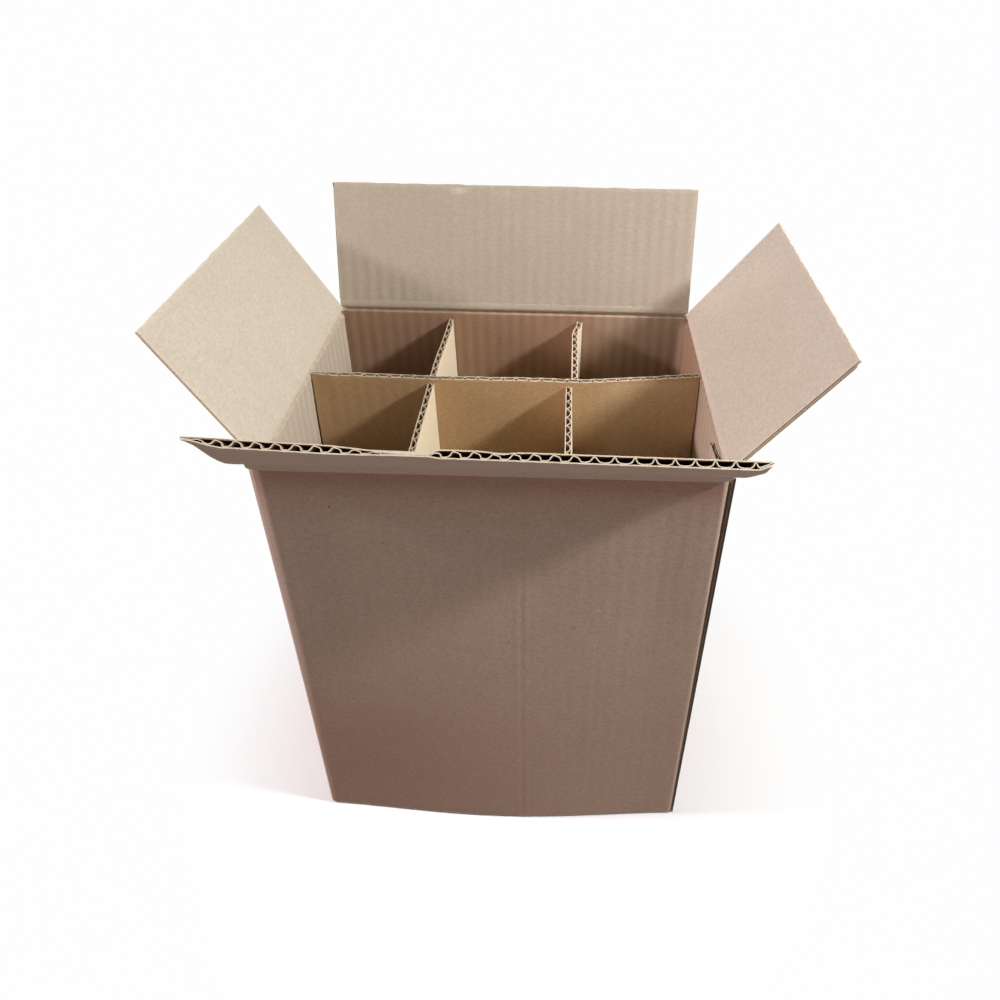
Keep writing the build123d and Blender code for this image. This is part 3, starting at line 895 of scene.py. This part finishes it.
def make_carton():
    shape = Shape()
    Carton().add_to(shape)
    half_gap = 0.15  # to the middle of the bottom, where the long bottom flaps meet
    add_bottom_flap(shape, 0, BACK, -LONG_HALF, FRONT_RIGHT, 0.0, BACK - half_gap)
    add_bottom_flap(shape, 180, BACK, -LONG_HALF, LONG_HALF, 0.0, BACK - half_gap)
    add_bottom_flap(shape, -90, RIGHT, -SIDE_HALF, SIDE_HALF, BOARD + CLEARANCE, FLAP)
    add_bottom_flap(shape, 90, RIGHT, -SIDE_HALF, SIDE_HALF, BOARD + CLEARANCE, FLAP)
    obj = shape.object("carton_board", box_mats)
    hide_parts("carton")
    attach(obj, "box")


make_carton()


# ---------------------------------------------------------------- floor, light, camera
WHITE = (0.99, 0.99, 0.99, 1)


def seen_rays(add):
    """1 for the rays that show the backdrop: straight ones, mirrored ones and those through glass."""
    path = add("ShaderNodeLightPath").outputs
    seen = {0: path["Is Camera Ray"], 1: path["Is Glossy Ray"]}
    seen = add("ShaderNodeMath", seen, operation="MAXIMUM").outputs[0]
    return add("ShaderNodeMath", {0: seen, 1: path["Is Transmission Ray"]}, operation="MAXIMUM").outputs[0]


def floor_material():
    """Pale paper, which a camera sees fade into the white backdrop away from the box."""
    material, add = new_material("floor_paper")
    where = add("ShaderNodeTexCoord").outputs["Object"]
    tone = add("ShaderNodeTexNoise", {"Vector": where, "Scale": 3.0, "Detail": 2.0}).outputs["Fac"]
    pale = add("ShaderNodeMapRange", {"Value": tone, "To Min": 0.90, "To Max": 0.94}).outputs["Result"]
    seen = seen_rays(add)
    value = add("ShaderNodeMix", {0: seen, 2: 0.24, 3: pale}, data_type="FLOAT").outputs[0]
    inputs = {"Base Color": value, "Roughness": 0.9, "Specular IOR Level": 0.1}
    paper = add("ShaderNodeBsdfPrincipled", inputs).outputs[0]
    away = add("ShaderNodeVectorMath", {0: where}, operation="LENGTH").outputs["Value"]
    inputs = {"Value": away, "From Min": 0.13, "From Max": 0.26}
    far = add("ShaderNodeMapRange", inputs, interpolation_type="SMOOTHSTEP").outputs["Result"]
    fade = add("ShaderNodeMath", {0: far, 1: seen}, operation="MULTIPLY").outputs[0]
    white = add("ShaderNodeEmission", {"Color": WHITE, "Strength": 1.0}).outputs[0]
    add("ShaderNodeOutputMaterial", {0: add("ShaderNodeMixShader", {0: fade, 1: paper, 2: white}).outputs[0]})
    return material


bpy.ops.mesh.primitive_circle_add(vertices=96, radius=6.0, fill_type="NGON", location=(0, 0, -0.0002))
floor = bpy.context.object
floor.name = "studio_floor"
floor.data.materials.append(floor_material())

world = bpy.data.worlds.new("studio")
bpy.context.scene.world = world
world.use_nodes = True
add = node_adder(world.node_tree)
fill = add("ShaderNodeBackground", {"Color": (1.0, 0.90, 0.80, 1), "Strength": 0.12}).outputs[0]
white = add("ShaderNodeBackground", {"Color": WHITE, "Strength": 1.0}).outputs[0]
sky = add("ShaderNodeMixShader", {0: seen_rays(add), 1: fill, 2: white}).outputs[0]
add("ShaderNodeOutputWorld", {0: sky})


def lamp(name, direction, distance, size, power, colour):
    """A square lamp that looks at the upper part of the box."""
    data = bpy.data.lights.new(name, "AREA")
    data.shape = "SQUARE"
    data.size = size
    data.energy = power
    data.color = colour
    obj = bpy.data.objects.new(name, data)
    bpy.context.scene.collection.objects.link(obj)
    toward = Vector(direction).normalized()
    obj.location = Vector((0, 0, 0.30)) + toward * distance
    obj.rotation_euler = toward.to_track_quat("Z", "Y").to_euler()


lamp("lamp_right", (0.75, -0.20, 0.60), 0.98, 0.10, 10.2, (1.0, 1.0, 1.0))
lamp("lamp_left", (-0.873, -0.09, 0.50), 1.3, 0.14, 14.4, (1.0, 0.89, 0.95))
lamp("lamp_back", (-0.3, 0.92, 0.25), 2.0, 1.2, 13.0, (1.0, 0.96, 0.93))
lamp("lamp_front", (0.25, -0.94, 0.22), 2.0, 1.2, 8.2, (1.0, 0.935, 0.90))

# The photograph's camera, fitted to the box's corners: focal length and middle in its 1000 pixels
FOCAL, MIDDLE_X, MIDDLE_Y, PIXELS = 758.57, 556.09, 323.15, 1000
PITCH_DOWN, YAW, ROLL = 30.36, 0.79, 0.94
EYE = (0.03714, -0.39285, 0.59694)


def turned(degrees, axis):
    return Matrix.Rotation(math.radians(degrees), 4, axis)


camera = bpy.data.cameras.new("camera")
camera.sensor_width = 36.0
camera.lens = FOCAL * camera.sensor_width / PIXELS
camera.shift_x = (PIXELS / 2 - MIDDLE_X) / PIXELS
camera.shift_y = (MIDDLE_Y - PIXELS / 2) / PIXELS
eye = bpy.data.objects.new("camera", camera)
bpy.context.scene.collection.objects.link(eye)
eye.matrix_world = Matrix.Translation(EYE) @ turned(YAW, "Z") @ turned(90 - PITCH_DOWN, "X") @ turned(ROLL, "Z")
bpy.context.scene.camera = eye
bpy.context.scene.view_settings.view_transform = "Standard"
